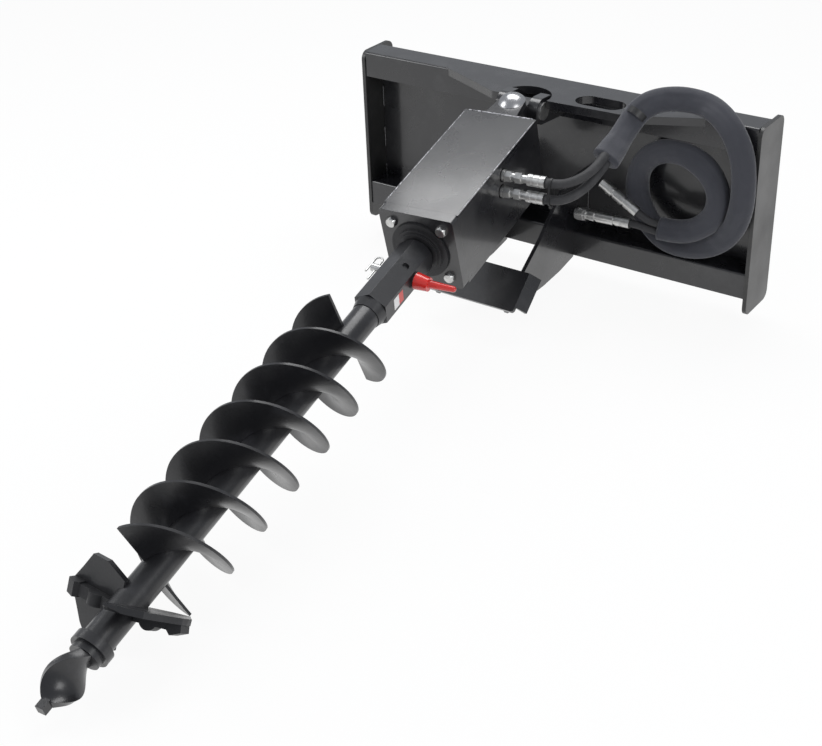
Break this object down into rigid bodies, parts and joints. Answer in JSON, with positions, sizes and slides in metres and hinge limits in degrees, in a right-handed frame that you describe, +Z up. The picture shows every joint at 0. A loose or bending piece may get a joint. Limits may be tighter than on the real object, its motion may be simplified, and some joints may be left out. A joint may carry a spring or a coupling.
{
  "type": "earth auger drive",
  "caption": "Hydraulic earth auger attachment: quick-attach frame with cradle, two-axis knuckle, gearbox drive, pinned double-flight auger, sleeved hoses.",
  "frame": {"origin": "centre of the main plate's rear face, the face that meets the loader's coupler", "axes": "+X to the right seen from in front, +Y backwards to the loader, +Z up"},
  "size_m": [1.143, 2.0192, 0.5989],
  "materials": {
    "gloss_black": "gloss",
    "satin_black": "satin",
    "dark_iron": "satin",
    "zinc": "satin",
    "hose_rubber": "matte",
    "sleeve_nylon": "matte",
    "tie_plastic": "matte",
    "red_dip": "gloss"
  },
  "bodies": {
    "frame": {"side_plate_left": "gloss_black", "side_plate_right": "gloss_black", "main_plate": "gloss_black", "top_rail": "gloss_black", "bottom_rail": "gloss_black", "pivot_plate": "gloss_black", "coupler_lip": "gloss_black", "coupler_ledge": "gloss_black", "pivot_ear_left": "gloss_black", "pivot_ear_right": "gloss_black", "swing_pin": "zinc", "cradle_arm_left": "gloss_black", "cradle_arm_right": "gloss_black", "cradle_plate": "gloss_black", "hose_sleeve": "sleeve_nylon", "hose_strap": "tie_plastic", "hose_tail_upper": "hose_rubber", "hose_tail_lower": "hose_rubber", "coupler_nipple": "zinc", "coupler_socket": "zinc"},
    "knuckle": {"knuckle_block": "gloss_black", "hose_upper": "hose_rubber", "hose_lower": "hose_rubber"},
    "drive": {"housing_top": "gloss_black", "housing_bottom": "gloss_black", "housing_left": "gloss_black", "housing_right": "gloss_black", "housing_back": "gloss_black", "lug_top": "gloss_black", "lug_bottom": "gloss_black", "knuckle_post": "zinc", "front_flange": "gloss_black", "gearbox": "dark_iron", "motor": "dark_iron", "flange_bolts": "zinc", "port_fitting_upper": "zinc", "port_fitting_lower": "zinc", "port_ferrule_upper": "zinc", "port_ferrule_lower": "zinc", "hose_tie": "tie_plastic"},
    "auger": {"output_shaft": "satin_black", "hex_collar": "satin_black", "weld_ring": "satin_black", "auger_tube": "satin_black", "flight_a": "satin_black", "flight_b": "satin_black", "boring_wing_a": "satin_black", "boring_wing_b": "satin_black", "tooth_holder_a": "dark_iron", "tooth_holder_b": "dark_iron", "tooth_tip_a": "dark_iron", "tooth_tip_b": "dark_iron", "pilot_holder": "satin_black", "pilot_bit": "satin_black"},
    "hitch": {"hitch_pin": "zinc", "hitch_handle": "red_dip"},
    "clip": {"retaining_clip": "zinc"},
    "collar": {"lock_collar": "zinc"}
  },
  "joints": [
    {"name": "swing", "type": "hinge", "parent": "frame", "child": "knuckle", "pos_m": [-0.018, -0.165, 0.193], "axis": [-1, 0, 0], "range_deg": [-28.9, 60], "deforming": ["hose_sleeve"]},
    {"name": "side_swing", "type": "hinge", "parent": "knuckle", "child": "drive", "pos_m": [-0.018, -0.19415, 0.13285], "axis": [0, -0.2261, 0.9741], "range_deg": [-14.4, 5.6], "deforming": ["hose_upper", "hose_lower"]},
    {"name": "auger_spin", "type": "hinge", "parent": "drive", "child": "auger", "pos_m": [-0.01341, -0.25243, 0.11932], "axis": [0.0765, -0.9712, -0.2255], "continuous": true},
    {"name": "hitch_turn", "type": "hinge", "parent": "auger", "child": "hitch", "pos_m": [0.0267, -0.76136, 0.00117], "axis": [0.9916, 0.0978, -0.0846], "range_deg": [-30, 90]},
    {"name": "clip_pull", "type": "slide", "parent": "hitch", "child": "clip", "axis": [-0.0765, 0.9712, 0.2255], "range_m": [0, 0.05]},
    {"name": "collar_slide", "type": "slide", "parent": "frame", "child": "collar", "axis": [0.9995, 0, 0.0327], "range_m": [0, 0.008], "stiffness_N_per_m": 800, "springref_m": -0.005}
  ]
}
